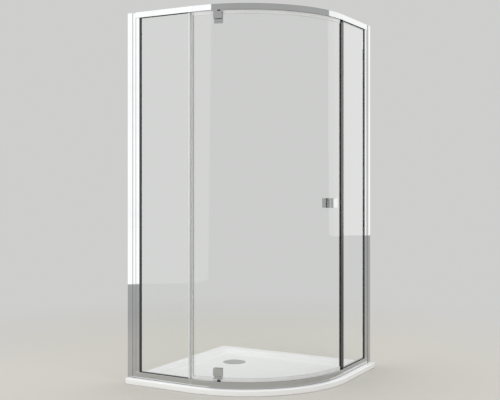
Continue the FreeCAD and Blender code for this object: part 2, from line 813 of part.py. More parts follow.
def door_seals():
    half_gap = angle_of(clamp_width / 2 + clamp_seal_gap, pin_depth)
    left = (-90 + seal_end_angle, hinge_angle - half_gap)
    right = (hinge_angle + half_gap, -seal_end_angle - angle_of(magnet_grip, glass_depth))
    return {"door_bottom_seal_short": sweep_seal(door_bottom, bottom_rail_z, *left),
            "door_bottom_seal_long": sweep_seal(door_bottom, bottom_rail_z, *right),
            "door_top_seal_short": sweep_seal(door_top, top_rail_z, *left),
            "door_top_seal_long": sweep_seal(door_top, top_rail_z, *right)}


def clamp_sector(d0, d1, z, height):
    half = angle_of(clamp_width / 2, pin_depth)
    return sector(d0, d1, hinge_angle - half, hinge_angle + half, z, z + height)


def clamp_outer(z):
    plate = clamp_sector(plate_inner - clamp_plate, plate_inner, z, clamp_plate_height)
    plate = chamfered_face(plate, clamp_chamfer, plate_inner - clamp_plate)
    return plate.cut(clamp_rods(clamp_screw_radius, plate_inner - clamp_screw_bite, plate_inner + cut_margin))


def clamp_inner(z, pin, side_hole):
    """Body of a clamp, on the inner face of the door, drilled for the pivot pin."""
    body = clamp_sector(body_outer, body_inner, z, clamp_body_height)
    body = chamfered_face(body, clamp_chamfer, body_inner)
    shanks = clamp_rods(clamp_screw_radius, body_outer - cut_margin, body_inner)
    heads = clamp_rods(clamp_screw_head_radius, body_inner - clamp_screw_head, body_inner + cut_margin)
    return body.cut(shanks + heads + [pin, side_hole])


def clamp_gaskets():
    """Soft pads between the glass and the metal, two to each clamp."""
    pads = []
    for z in (lower_plate_z, upper_plate_z):
        outer = clamp_sector(plate_inner, glass_depth, z, clamp_plate_height)
        inner = clamp_sector(glass_inner, body_outer, z, clamp_plate_height)
        pads += [pad.cut(clamp_rods(glass_hole_radius, 0, rail_depth)) for pad in (outer, inner)]
    return Part.makeCompound(pads)


def clamp_screws():
    rods = clamp_rods(clamp_screw_radius, plate_inner - clamp_screw_bite, body_inner - clamp_screw_head)
    heads = clamp_rods(clamp_screw_head_radius, body_inner - clamp_screw_head, body_inner)
    return Part.makeCompound([joined(pair) for pair in zip(rods, heads)])


def grub_screw(z):
    return radial_rod(grub_radius, pin_depth + pin_radius + grub_end_gap, body_inner, hinge_angle, 0, z)


def grub_hole(z):
    return radial_rod(grub_radius, pin_depth, body_inner + cut_margin, hinge_angle, 0, z)


def pivot_parts():
    place = on_arc(pin_depth, hinge_angle)
    low_end = bottom_rail_z - pin_in_rail
    lower_pin = post(pin_radius, place, low_end, lower_body_z + pin_in_body)
    upper_top = upper_body_z + clamp_body_height
    upper_pin = post(pin_radius, place, upper_top - pin_in_body, top_rail_z + pin_in_rail)
    lower_grub_z = lower_body_z + grub_height
    upper_grub_z = upper_top - grub_height
    washer = ring(pin_radius, washer_radius, place, lower_body_z - washer_thickness, lower_body_z)
    return {"lower_pivot_pin": lower_pin,
            "upper_pivot_pin": upper_pin,
            "lower_thrust_washer": washer,
            "pin_grub_screws": Part.makeCompound([grub_screw(lower_grub_z), grub_screw(upper_grub_z)]),
            "lower_clamp_outer": clamp_outer(lower_plate_z),
            "upper_clamp_outer": clamp_outer(upper_plate_z),
            "lower_clamp_inner": clamp_inner(lower_body_z, lower_pin, grub_hole(lower_grub_z)),
            "upper_clamp_inner": clamp_inner(upper_body_z, upper_pin, grub_hole(upper_grub_z))}


def handle_sector(d0, d1, narrower, z0, z1):
    half = angle_of(handle_width / 2 - narrower, glass_depth)
    return sector(d0, d1, handle_angle - half, handle_angle + half, z0, z1)


def handle_loop(near, far, drill):
    """One grip: a band bent round a finger gap that is open above and below."""
    way = 1 if far > near else -1
    z0, z1 = handle_z, handle_z + handle_height
    loop = handle_sector(min(near, far), max(near, far), 0, z0, z1)
    gap_near = near + way * handle_base
    gap_far = far - way * handle_wall
    gap = handle_sector(min(gap_near, gap_far), max(gap_near, gap_far), handle_wall, z0, z1)
    loop = loop.makeFillet(handle_bend, upright_edges(loop, far))
    gap = gap.makeFillet(handle_bend - handle_wall, upright_edges(gap, gap_far))
    return loop.cut([gap] + drill)


def handle_parts():
    outer_near = glass_depth - handle_pad
    outer_far = glass_depth - handle_projection
    inner_near = glass_inner + handle_pad
    inner_far = glass_inner + handle_projection
    head_start = inner_near + handle_base
    head_end = head_start + handle_screw_head
    shanks = handle_rods(handle_screw_radius, outer_near - handle_screw_bite, head_start)
    heads = handle_rods(handle_screw_head_radius, head_start, head_end)
    screws = [joined(pair) for pair in zip(shanks, heads)]
    z0, z1 = handle_z, handle_z + handle_height
    pads = [handle_sector(outer_near, glass_depth, 0, z0, z1),
            handle_sector(glass_inner, inner_near, 0, z0, z1)]
    holes = handle_rods(glass_hole_radius, outer_near - cut_margin, inner_near + cut_margin)
    return {"outer_handle": handle_loop(outer_near, outer_far, screws),
            "inner_handle": handle_loop(inner_near, inner_far, screws),
            "handle_gaskets": Part.makeCompound([pad.cut(holes) for pad in pads]),
            "handle_screws": Part.makeCompound(screws)}


def door_parts():
    parts = {"door_glass": door_glass(), "door_edge_strip": door_edge_strip(),
             "door_magnet_seal": door_magnet_seal(), "clamp_gaskets": clamp_gaskets(),
             "clamp_screws": clamp_screws()}
    parts.update(door_seals())
    parts.update(pivot_parts())
    parts.update(handle_parts())
    return parts


# All pieces
def all_parts():
    parts = {"shower_tray": shower_tray()}
    for group in (waste_parts, rail_parts, pivot_seat_parts, side_parts, door_parts):
        parts.update(group())
    return parts


os.makedirs("parts", exist_ok=True)
for name, shape in all_parts().items():
    shape.exportStep("parts/" + name + ".step")
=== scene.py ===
import math
import bmesh
import bpy
from mathutils import Matrix, Vector


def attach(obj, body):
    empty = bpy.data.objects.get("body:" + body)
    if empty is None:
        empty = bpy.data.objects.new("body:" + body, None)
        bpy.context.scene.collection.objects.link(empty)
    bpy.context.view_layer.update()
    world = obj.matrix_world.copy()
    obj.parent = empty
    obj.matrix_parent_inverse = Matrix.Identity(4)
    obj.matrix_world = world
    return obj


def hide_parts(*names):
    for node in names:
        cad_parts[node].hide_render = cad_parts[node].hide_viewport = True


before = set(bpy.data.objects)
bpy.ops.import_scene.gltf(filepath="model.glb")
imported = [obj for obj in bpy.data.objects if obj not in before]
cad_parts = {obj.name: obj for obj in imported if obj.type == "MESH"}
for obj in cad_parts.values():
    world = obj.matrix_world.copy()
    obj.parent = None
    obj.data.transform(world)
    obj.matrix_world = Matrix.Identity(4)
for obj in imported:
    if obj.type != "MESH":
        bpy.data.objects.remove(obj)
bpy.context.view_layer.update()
scene = bpy.context.scene

# Lengths are in millimetres until a piece is finished. A depth runs inwards from the outer face of the rails.
# Pieces of the right panel are made on the left straight run and then moved across.
mm = 0.001
nearly = 0.01  # for telling corners apart
stepsPerDegree = 1.4  # of a curve about the door's centre
smoothBelow = 40.0  # degrees between two faces that are shaded as one
plan = {
    "arcCentre": Vector((-100, 100, 0)),
    "faceLine": 470.0,
    "faceRadius": 570.0,
    "hingeAngle": -76.0,
    "pinDepth": 23.0,
    "railBottom": (31.5, 62.0),
    "railTop": (1900.0, 1930.0),
    "profileTop": 1927.0,
    "glass": (8.0, 14.0),
    "sealHeights": (62.5, 1899.5),
}
# swaps the left and the right panel
otherSide = Matrix(((0, -1, 0, 0), (-1, 0, 0, 0), (0, 0, 1, 0), (0, 0, 0, 1)))


# Shapes
def rectangle(a0, a1, b0, b1):
    return [(a0, b0), (a1, b0), (a1, b1), (a0, b1)]


def sectionFace(bm, loop, x):
    # a loop of (depth, height) points, standing across the left straight run
    return bm.faces.new([bm.verts.new((x, depth - plan["faceLine"], z)) for depth, z in loop])


def planFace(bm, loop, z):
    # a loop of (x, depth) points, seen from above
    return bm.faces.new([bm.verts.new((x, depth - plan["faceLine"], z)) for x, depth in loop])


def facesOf(geometry):
    return [g for g in geometry if isinstance(g, bmesh.types.BMFace)]


def vertsOf(geometry):
    return [g for g in geometry if isinstance(g, bmesh.types.BMVert)]


def cleaned(bm):
    # a spin or a second push can leave a face inside the shape, or a loose edge on the axis
    inside = [f for f in bm.faces if all(len(e.link_faces) > 2 for e in f.edges)]
    bmesh.ops.delete(bm, geom=inside, context="FACES_ONLY")
    bmesh.ops.delete(bm, geom=[e for e in bm.edges if not e.link_faces], context="EDGES")
    return bm


def pushFace(bm, face, way):
    made = bmesh.ops.extrude_face_region(bm, geom=[face])["geom"]
    bmesh.ops.translate(bm, vec=way, verts=vertsOf(made))
    return facesOf(made)[0]


def turnFace(bm, face, degrees):
    made = bmesh.ops.spin(bm, geom=[face] + list(face.edges) + list(face.verts), cent=plan["arcCentre"],
                          axis=(0, 0, 1), dvec=(0, 0, 0), angle=math.radians(degrees),
                          steps=max(2, round(abs(degrees) * stepsPerDegree)), use_merge=False)
    return facesOf(made["geom_last"])[0]


def straightRun(loop, x0, x1):
    bm = bmesh.new()
    pushFace(bm, sectionFace(bm, loop, x0), (x1 - x0, 0, 0))
    return bm


def arcRun(loop, fromAngle, toAngle):
    bm = bmesh.new()
    face = sectionFace(bm, loop, plan["arcCentre"].x)
    turn = Matrix.Rotation(math.radians(fromAngle + 90), 4, "Z")
    bmesh.ops.rotate(bm, cent=plan["arcCentre"], matrix=turn, verts=bm.verts)
    turnFace(bm, face, toAngle - fromAngle)
    return bm


def wholeRun(loop, x0):
    # along the left straight, round the curve, and as far along the right straight
    bm = bmesh.new()
    reach = plan["arcCentre"].x - x0
    face = pushFace(bm, sectionFace(bm, loop, x0), (reach, 0, 0))
    pushFace(bm, turnFace(bm, face, 90), (0, reach, 0))
    return cleaned(bm)


def upright(loop, z0, z1):
    bm = bmesh.new()
    pushFace(bm, planFace(bm, loop, z0), (0, 0, z1 - z0))
    return bm


def turned(loop, place, steps=64):
    # a loop of (radius, height) points, spun into a round piece
    bm = bmesh.new()
    x, y = place[0], place[1]
    face = bm.faces.new([bm.verts.new((x + radius, y, z)) for radius, z in loop])
    bmesh.ops.spin(bm, geom=[face] + list(face.edges) + list(face.verts), cent=(x, y, 0), axis=(0, 0, 1),
                   dvec=(0, 0, 0), angle=math.tau, steps=steps, use_merge=True)
    bmesh.ops.remove_doubles(bm, verts=bm.verts, dist=0.001)
    return cleaned(bm)


def gathered(shapes):
    whole = bmesh.new()
    for shape in shapes:
        mesh = bpy.data.meshes.new("part")
        shape.to_mesh(mesh)
        shape.free()
        whole.from_mesh(mesh)
        bpy.data.meshes.remove(mesh)
    return whole


def bothSides(bm):
    made = bmesh.ops.duplicate(bm, geom=list(bm.verts) + list(bm.edges) + list(bm.faces))["geom"]
    bmesh.ops.transform(bm, matrix=otherSide, verts=vertsOf(made))
    return bm


def softened(bm, width, segments, sharperThan=30):
    # rounds the edges, from a piece's own width, segments and, where fine curves stay as they are, least angle
    bmesh.ops.recalc_face_normals(bm, faces=bm.faces)
    sharp = [e for e in bm.edges if e.is_manifold and e.calc_face_angle() > math.radians(sharperThan)]
    bmesh.ops.bevel(bm, geom=sharp, offset=width, offset_type="OFFSET", segments=segments, profile=0.5,
                    affect="EDGES", clamp_overlap=True, material=-1)
    return bm


def onCurve(angle, depth, z=0.0):
    a = math.radians(angle)
    radius = plan["faceRadius"] - depth
    return plan["arcCentre"] + Vector((radius * math.cos(a), radius * math.sin(a), z))


def wrapped(bm, middleAngle, atDepth):
    # bends a shape made flat, with x along the door and y as the depth, on to the door's curve
    radius = plan["faceRadius"] - atDepth
    for vert in bm.verts:
        vert.co = onCurve(middleAngle + math.degrees(vert.co.x / radius), vert.co.y, vert.co.z)
    return bm


def flatBlock(width, d0, d1, z0, z1, cuts=5):
    bm = bmesh.new()
    bmesh.ops.create_cube(bm, size=1)
    bmesh.ops.scale(bm, vec=(width, d1 - d0, z1 - z0), verts=bm.verts)
    bmesh.ops.translate(bm, vec=(0, (d0 + d1) / 2, (z0 + z1) / 2), verts=bm.verts)
    along = [e for e in bm.edges if abs(e.verts[0].co.x - e.verts[1].co.x) > width / 2]
    bmesh.ops.subdivide_edges(bm, edges=along, cuts=cuts, use_grid_fill=True)
    return bm


def finished(bm, name, body, nodes, finish, mirrored=False, otherFinish=None, otherPart=None):
    if otherFinish:
        for face in bm.faces:
            face.material_index = int(otherPart(face.calc_center_median()))
    if mirrored:
        bmesh.ops.transform(bm, matrix=otherSide, verts=bm.verts)
    bmesh.ops.scale(bm, vec=(mm, mm, mm), verts=bm.verts)
    bmesh.ops.recalc_face_normals(bm, faces=bm.faces)
    for face in bm.faces:
        face.smooth = True
    for edge in bm.edges:
        edge.smooth = not edge.is_manifold or edge.calc_face_angle() < math.radians(smoothBelow)
    mesh = bpy.data.meshes.new(name)
    bm.to_mesh(mesh)
    bm.free()
    for used in filter(None, (finish, otherFinish)):
        mesh.materials.append(used)
    piece = bpy.data.objects.new(name, mesh)
    scene.collection.objects.link(piece)
    shading = piece.modifiers.new("evenShading", "WEIGHTED_NORMAL")
    shading.keep_sharp = True
    shading.weight = 100  # the large faces stay flat, the rounded edges take the turn
    shading.thresh = mm * mm
    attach(piece, body)
    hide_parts(*nodes)
    return piece


# Materials
def addNode(tree, kind, inputs=None, **settings):
    made = tree.nodes.new(kind)
    for name, value in settings.items():
        setattr(made, name, value)
    for name, value in (inputs or {}).items():
        if isinstance(value, bpy.types.NodeSocket):
            tree.links.new(value, made.inputs[name])
        else:
            made.inputs[name].default_value = value
    return made


def mixed(tree, factor, first, second):
    # 6 and 7 are the two colours of a Mix node
    return addNode(tree, "ShaderNodeMix", {0: factor, 6: first, 7: second}, data_type="RGBA").outputs[2]


def effectGroup(name, inputs, outputs):
    tree = bpy.data.node_groups.new(name, "ShaderNodeTree")
    for title, value in inputs.items():
        socket = tree.interface.new_socket(title, in_out="INPUT", socket_type="NodeSocketFloat")
        socket.default_value = value
    for title, kind in outputs.items():
        tree.interface.new_socket(title, in_out="OUTPUT", socket_type=kind)
    return tree, tree.nodes.new("NodeGroupInput"), tree.nodes.new("NodeGroupOutput")


def handledSurface():
    # faint smears and dried drops, as a mask and as a roughness between two values
    tree, given, result = effectGroup("handledSurface", {"Clean": 0.05, "Marked": 0.15, "Scale": 6.0, "Drops": 0.3},
                                      {"Roughness": "NodeSocketFloat", "Mask": "NodeSocketFloat"})
    place = addNode(tree, "ShaderNodeTexCoord").outputs["Object"]
    smears = addNode(tree, "ShaderNodeTexNoise", {"Vector": place, "Scale": given.outputs["Scale"],
                                                  "Detail": 6.0, "Roughness": 0.62, "Distortion": 0.6})
    smear = addNode(tree, "ShaderNodeMapRange", {"Value": smears.outputs["Fac"], "From Min": 0.48,
                                                 "From Max": 0.78})
    dropsPerSmear = 22.0
    often = addNode(tree, "ShaderNodeMath", {0: given.outputs["Scale"], 1: dropsPerSmear}, operation="MULTIPLY")
    drops = addNode(tree, "ShaderNodeTexVoronoi", {"Vector": place, "Scale": often.outputs[0]})
    drop = addNode(tree, "ShaderNodeMapRange", {"Value": drops.outputs["Distance"], "From Min": 0.16,
                                                "From Max": 0.10, "To Max": given.outputs["Drops"]})
    both = addNode(tree, "ShaderNodeMath", {0: smear.outputs[0], 1: drop.outputs[0]}, operation="MAXIMUM")
    rough = addNode(tree, "ShaderNodeMapRange", {"Value": both.outputs[0], "To Min": given.outputs["Clean"],
                                                 "To Max": given.outputs["Marked"]})
    tree.links.new(rough.outputs[0], result.inputs["Roughness"])
    tree.links.new(both.outputs[0], result.inputs["Mask"])
    return tree


def fineRelief():
    # the slight unevenness of a moulded or drawn surface
    tree, given, result = effectGroup("fineRelief", {"Scale": 40.0, "Strength": 0.1, "Height": 0.0004},
                                      {"Normal": "NodeSocketVector"})
    place = addNode(tree, "ShaderNodeTexCoord").outputs["Object"]
    grain = addNode(tree, "ShaderNodeTexNoise", {"Vector": place, "Scale": given.outputs["Scale"],
                                                 "Detail": 3.0, "Roughness": 0.5})
    bump = addNode(tree, "ShaderNodeBump", {"Height": grain.outputs["Fac"], "Distance": given.outputs["Height"],
                                            "Strength": given.outputs["Strength"]})
    tree.links.new(bump.outputs[0], result.inputs["Normal"])
    return tree


handledGroup = handledSurface()
reliefGroup = fineRelief()


def material(name, colour, shades=None, handled=None, relief=None, light=None, **sockets):
    made = bpy.data.materials.new(name)
    made.use_nodes = True
    tree = made.node_tree
    shader = tree.nodes["Principled BSDF"]
    shader.inputs["Base Color"].default_value = (*colour, 1)
    for socket, value in sockets.items():
        shader.inputs[socket.replace("_", " ")].default_value = value
    if handled:
        marks = addNode(tree, "ShaderNodeGroup", node_tree=handledGroup)
        for socket, value in zip(("Clean", "Marked", "Scale", "Drops"), handled):
            marks.inputs[socket].default_value = value
        tree.links.new(marks.outputs["Roughness"], shader.inputs["Roughness"])
        if shades:
            tone = mixed(tree, marks.outputs["Mask"], (*colour, 1), (*shades, 1))
            tree.links.new(tone, shader.inputs["Base Color"])
    if relief:
        grain = addNode(tree, "ShaderNodeGroup", node_tree=reliefGroup)
        for socket, value in zip(("Scale", "Strength", "Height"), relief):
            grain.inputs[socket].default_value = value
        tree.links.new(grain.outputs["Normal"], shader.inputs["Normal"])
    if light:
        # lamps reach what stands behind it
        path = addNode(tree, "ShaderNodeLightPath")
        clear = addNode(tree, "ShaderNodeBsdfTransparent", {"Color": (*light, 1)})
        blend = addNode(tree, "ShaderNodeMixShader", {0: path.outputs["Is Shadow Ray"]})
        tree.links.new(shader.outputs[0], blend.inputs[1])
        tree.links.new(clear.outputs[0], blend.inputs[2])
        tree.links.new(blend.outputs[0], tree.nodes["Material Output"].inputs["Surface"])
    return made


# Colour, colour where marked, (roughness clean, roughness marked, scale, drops), (relief scale, strength, height),
# and the light that passes
chrome = material("polishedChrome", (0.56, 0.565, 0.57), (0.52, 0.525, 0.53), (0.018, 0.055, 4.0, 0.05),
                  (6.0, 0.008, 0.002), Metallic=1.0)
steel = material("stainlessSteel", (0.60, 0.60, 0.59), (0.52, 0.52, 0.51), (0.18, 0.34, 30.0, 0.3),
                 (260.0, 0.12, 0.0002), Metallic=1.0)
acrylic = material("whiteAcrylic", (0.885, 0.885, 0.885), (0.86, 0.86, 0.858), (0.06, 0.12, 3.0, 0.3),
                   (2.5, 0.03, 0.006), Coat_Weight=0.3, Coat_Roughness=0.04)
glass = material("clearGlass", (0.972, 0.985, 0.98), None, (0.0, 0.012, 4.0, 0.2), None, (0.95, 0.96, 0.955),
                 Transmission_Weight=1.0, IOR=1.5)
clearSeal = material("clearSeal", (0.93, 0.935, 0.935), (0.88, 0.885, 0.885), (0.18, 0.30, 9.0, 0.0),
                     (30.0, 0.15, 0.0006), (0.75, 0.75, 0.75), Transmission_Weight=0.35, IOR=1.46)
clearFin = material("clearFin", (0.98, 0.985, 0.982), None, (0.03, 0.09, 9.0, 0.1), None, (0.93, 0.935, 0.93),
                    Transmission_Weight=0.97, IOR=1.2)
magnetSeal = material("magnetSeal", (0.030, 0.026, 0.024), (0.04, 0.036, 0.034), (0.26, 0.36, 8.0, 0.0),
                      (400.0, 0.01, 0.0001))
darkRubber = material("darkRubber", (0.022, 0.022, 0.023), (0.045, 0.045, 0.046), (0.45, 0.68, 18.0, 0.1),
                      (240.0, 0.15, 0.0002))
nylon = material("darkNylon", (0.035, 0.035, 0.037), (0.06, 0.06, 0.062), (0.36, 0.52, 30.0, 0.1),
                 (300.0, 0.15, 0.0002))
# dark grey: partly the sealant's own grey, partly painted shade of the gap between the tray and the rails
sealantWithPaintedGapShade = material("greySealantPaintedGapShade", (0.16, 0.16, 0.155), (0.11, 0.11, 0.108), (0.32, 0.50, 20.0, 0.1),
                   (90.0, 0.25, 0.0005))
print("materials ready")


# Tray and waste
tray = {"side": 500.0, "curve": 600.0, "corner": 14.0, "top": 30.0, "footHeight": 3.0, "footInset": 3.0,
        "rim": 66.0, "slope": 34.0, "floor": 12.0, "basinCorner": 40.0, "level": 16.0,
        "edgeRound": (6.0, 6), "rimRound": (8.0, 5), "floorRound": (11.0, 5), "curveSteps": 80, "cornerSteps": 8}
waste = {"place": (-240.0, 192.0), "recess": 64.0, "recessFloor": 4.0, "hole": 46.0}


def trayLoop(bm, inset, corner, z):
    # the tray's outline, moved in and at one height, as a loop of edges
    side = tray["side"] - inset
    face = bm.faces.new([bm.verts.new((x, y, z)) for x, y in
                         ((-side, -side), (side, -side), (side, side), (-side, side))])
    front = [v for v in face.verts if v.co.x > 0 > v.co.y]
    others = [v for v in face.verts if v not in front]
    for verts, size, segments in ((front, tray["curve"] - inset, tray["curveSteps"]),
                                  (others, corner, tray["cornerSteps"])):
        bmesh.ops.bevel(bm, geom=verts, offset=size, offset_type="OFFSET", segments=segments, profile=0.5,
                        affect="VERTICES", clamp_overlap=False, material=-1)
    face = [f for f in bm.faces if abs(f.verts[0].co.z - z) < nearly and len(f.verts) > tray["curveSteps"]
            and abs(max(v.co.x for v in f.verts) - side) < nearly][-1]
    edges = list(face.edges)
    bmesh.ops.delete(bm, geom=[face], context="FACES_ONLY")
    return edges


def circleLoop(bm, place, radius, z, segments=72):
    made = bmesh.ops.create_circle(bm, cap_ends=False, radius=radius, segments=segments,
                                   matrix=Matrix.Translation((*place, z)))
    return list(dict.fromkeys(e for v in made["verts"] for e in v.link_edges))


def trayShape():
    bm = bmesh.new()
    outer = [trayLoop(bm, tray["footInset"], tray["corner"] - tray["footInset"], 0),
             trayLoop(bm, tray["footInset"], tray["corner"] - tray["footInset"], tray["footHeight"]),
             trayLoop(bm, 0, tray["corner"], tray["footHeight"]),
             trayLoop(bm, 0, tray["corner"], tray["top"])]
    inset = tray["rim"] + tray["slope"]
    corner = tray["basinCorner"] + tray["slope"]
    basin = [trayLoop(bm, tray["rim"], tray["basinCorner"], tray["top"]),
             trayLoop(bm, inset, corner, tray["floor"]),
             trayLoop(bm, inset + tray["level"], corner + tray["level"], tray["floor"])]
    loops = outer + basin
    for low, high in zip(loops, loops[1:]):
        bmesh.ops.bridge_loops(bm, edges=low + high)
    rings = [circleLoop(bm, waste["place"], waste["recess"], tray["floor"]),
             circleLoop(bm, waste["place"], waste["recess"], waste["recessFloor"]),
             circleLoop(bm, waste["place"], waste["hole"], waste["recessFloor"]),
             circleLoop(bm, waste["place"], waste["hole"], 0)]
    for low, high in zip(rings, rings[1:]):
        bmesh.ops.bridge_loops(bm, edges=low + high)
    bmesh.ops.triangle_fill(bm, edges=basin[-1] + rings[0], use_beauty=True, use_dissolve=False)
    bmesh.ops.triangle_fill(bm, edges=outer[0] + rings[-1], use_beauty=True, use_dissolve=False)
    for edges, (size, segments) in ((outer[-1], tray["edgeRound"]), (basin[0], tray["rimRound"]),
                                    (basin[1], tray["floorRound"])):
        bmesh.ops.bevel(bm, geom=[e for e in edges if e.is_valid], offset=size, offset_type="OFFSET",
                        segments=segments, profile=0.5, affect="EDGES", clamp_overlap=False, material=-1)
    return bm


finished(trayShape(), "showerTray", "enclosure", ["shower_tray"], acrylic)

flange = {"loop": [(36, 3), (42, 3), (42, 0.5), (45.5, 0.5), (45.5, 5), (62, 5), (62, 7), (42, 7), (42, 5),
                   (36, 5)], "edge": (0.3, 2)}
finished(softened(turned(flange["loop"], waste["place"]), *flange["edge"]), "wasteFlange", "enclosure",
         ["waste_flange"], steel)

cover = {"loop": [(0, 9), (60, 9), (60, 11.9), (54, 12), (53, 11.6), (52, 12), (0, 12)], "edge": (0.5, 3, 50),
         "steps": 96, "feet": 4, "firstFoot": 45.0, "footRadius": 4.0, "footRing": 53.75, "footHeights": (7.0, 9.0),
         "footSteps": 20}


def coverShape():
    x, y = waste["place"]
    shapes = [softened(turned(cover["loop"], waste["place"], cover["steps"]), *cover["edge"])]
    foot = rectangle(0, cover["footRadius"], *cover["footHeights"])
    for i in range(cover["feet"]):
        a = math.radians(cover["firstFoot"] + 360 * i / cover["feet"])
        spot = (x + cover["footRing"] * math.cos(a), y + cover["footRing"] * math.sin(a))
        shapes.append(turned(foot, spot, cover["footSteps"]))
    return gathered(shapes)


finished(coverShape(), "drainCover", "waste_cover", ["drain_cover"], chrome)
print("tray and waste ready")

# Rails
rail = {"depth": 34.0, "start": -450.0, "joint": -110.0, "groove": (7.0, 15.0), "grooveDepth": 16.0,
        "edge": (0.9, 3), "clipWidth": 18.0, "clipThickness": 1.0, "clipProud": 0.35, "clipInset": 0.2,
        "clipEdge": (0.3, 2), "seal": (1.5, 32.5, 30.0, 31.5), "sealStart": -500.0}


def straightRailShape(z0, z1, opensUp):
    g0, g1 = rail["groove"]
    depth = rail["depth"]
    if opensUp:
        low = z1 - rail["grooveDepth"]
        loop = [(0, z0), (depth, z0), (depth, z1), (g1, z1), (g1, low), (g0, low), (g0, z1), (0, z1)]
    else:
        high = z0 + rail["grooveDepth"]
        loop = [(0, z0), (g0, z0), (g0, high), (g1, high), (g1, z0), (depth, z0), (depth, z1), (0, z1)]
    return softened(straightRun(loop, rail["start"], rail["joint"]), *rail["edge"])


for level, heights, opensUp in (("bottom", plan["railBottom"], True), ("top", plan["railTop"], False)):
    for hand in ("left", "right"):
        finished(straightRailShape(*heights, opensUp), f"{level}Rail{hand.title()}", "enclosure",
                 [f"{level}_rail_{hand}"], chrome, mirrored=hand == "right")
    finished(softened(wholeRun(rectangle(0, rail["depth"], *heights), rail["joint"]), *rail["edge"]),
             f"{level}RailCurved", "enclosure", [f"{level}_rail_curved"], chrome)

clips = []
for z0, z1 in (plan["railBottom"], plan["railTop"]):
    loop = rectangle(-rail["clipProud"], rail["clipThickness"] - rail["clipProud"], z0 + rail["clipInset"],
                     z1 - rail["clipInset"])
    clip = straightRun(loop, rail["joint"] - rail["clipWidth"] / 2, rail["joint"] + rail["clipWidth"] / 2)
    clips.append(bothSides(softened(clip, *rail["clipEdge"])))
finished(gathered(clips), "railJointClips", "enclosure", ["rail_joint_clips"], steel)
# the seal under the rails carries painted shade: its dark grey stands in partly for the shade in that gap
finished(wholeRun(rectangle(*rail["seal"]), rail["sealStart"]), "trayJointSeal", "enclosure",
         ["tray_joint_seal"], sealantWithPaintedGapShade)
print("rails ready")

# Profiles and fixed glass, one set at each wall
side = {
    "stile": rectangle(-482, -450, 2.3, 31.7),
    "capPlate": rectangle(-500, -450, 0, 34),
    "capPeg": (rectangle(-480, -454.2, 4.1, 29.9), 1919.0),
    "glazingProfile": [(-450, 4), (-428, 4), (-428, 7), (-444, 7), (-444, 15), (-428, 15), (-428, 18), (-450, 18)],
    "gasket": [(-444, 7), (-428, 7), (-428, 5.5), (-419, 5.5), (-419, 8), (-442, 8), (-442, 14), (-419, 14),
               (-419, 16.5), (-428, 16.5), (-428, 15), (-444, 15)],
    "glass": rectangle(-442, -118, 8, 14),
    "glassHeights": (48.0, 1914.0),
    "lip": [(7, 46), (15, 46), (15, 62), (16.2, 62), (16.2, 64.5), (14, 64.5), (14, 48), (8, 48), (8, 64.5),
            (5.8, 64.5), (5.8, 62), (7, 62)],
    "lipRun": (-419.0, -127.0),
    "edgeSeal": [(-127, 6.5), (-118, 6.5), (-118, 5.9), (-94, 5.9), (-94, 7.5), (-110, 7.5), (-110, 15.5),
                 (-127, 15.5), (-127, 14), (-118, 14), (-118, 8), (-127, 8)],
    "bodyEnd": -110.5,
    "magnetSeal": [(-124, 3), (-110.5, 3), (-110.5, 19), (-124, 19), (-124, 14), (-118, 14), (-118, 8), (-124, 8)],
    "lockCap": [(0, 0), (5.6, 0), (5.6, 2.4), (4.6, 3.4), (0, 3.4)],
    "lockX": -475.5,
    "lockHeights": (201.5, 979.25, 1757.0),
    "lockSteps": 32,
    "profileEdge": (0.5, 2, 50),
    "frameEdge": (0.8, 3),
    "glazingEdge": (0.5, 2),
    "gasketEdge": (0.3, 2),
    "sealEdge": (0.4, 2),
}


def turnedOver(loop):
    # the same loop of (depth, height) points, upside down between the rails
    return [(depth, plan["railBottom"][1] + plan["railTop"][0] - z) for depth, z in loop]


def refinedNode(name):
    # a CAD node's own mesh, joined up, for pieces that keep their holes
    sameSpot, flatWithin = 0.000002, 0.5  # metres and degrees
    bm = bmesh.new()
    bm.from_mesh(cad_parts[name].data)
    bmesh.ops.remove_doubles(bm, verts=bm.verts, dist=sameSpot)
    bmesh.ops.scale(bm, vec=(1 / mm, 1 / mm, 1 / mm), verts=bm.verts)
    bmesh.ops.dissolve_limit(bm, angle_limit=math.radians(flatWithin), verts=bm.verts, edges=bm.edges)
    return bm


def capShape():
    plate = softened(upright(side["capPlate"], plan["profileTop"], plan["railTop"][1]), *side["frameEdge"])
    loop, bottom = side["capPeg"]
    return gathered([plate, upright(loop, bottom, plan["profileTop"])])


betweenRails = (plan["railBottom"][1], plan["railTop"][0])
for hand in ("left", "right"):
    finished(softened(refinedNode(f"{hand}_wall_profile"), *side["profileEdge"]), f"wallProfile{hand.title()}",
             "enclosure", [f"{hand}_wall_profile"], chrome)
    for nodeName, pieceName, slotName, finish, bm in (
            ("frame_stile", "frameStile", "chrome", chrome,
             softened(upright(side["stile"], plan["railBottom"][0], plan["profileTop"]), *side["frameEdge"])),
            ("profile_cap", "profileCap", "chrome", chrome, capShape()),
            ("glazing_profile", "glazingProfile", "chrome", chrome,
             softened(upright(side["glazingProfile"], *betweenRails), *side["glazingEdge"])),
            ("glazing_gasket", "glazingGasket", "dark_gasket", darkRubber,
             softened(upright(side["gasket"], *betweenRails), *side["gasketEdge"])),
            ("fixed_glass", "fixedGlass", "glass", glass,
             softened(upright(side["glass"], *side["glassHeights"]), *side["glazingEdge"])),
            ("rail_gaskets", "railGaskets", "dark_gasket", darkRubber,
             gathered([softened(straightRun(loop, *side["lipRun"]), *side["gasketEdge"])
                       for loop in (side["lip"], turnedOver(side["lip"]))]))):
        finished(bm, pieceName + hand.title(), "enclosure", [f"{hand}_{nodeName}"], finish,
                 mirrored=hand == "right")

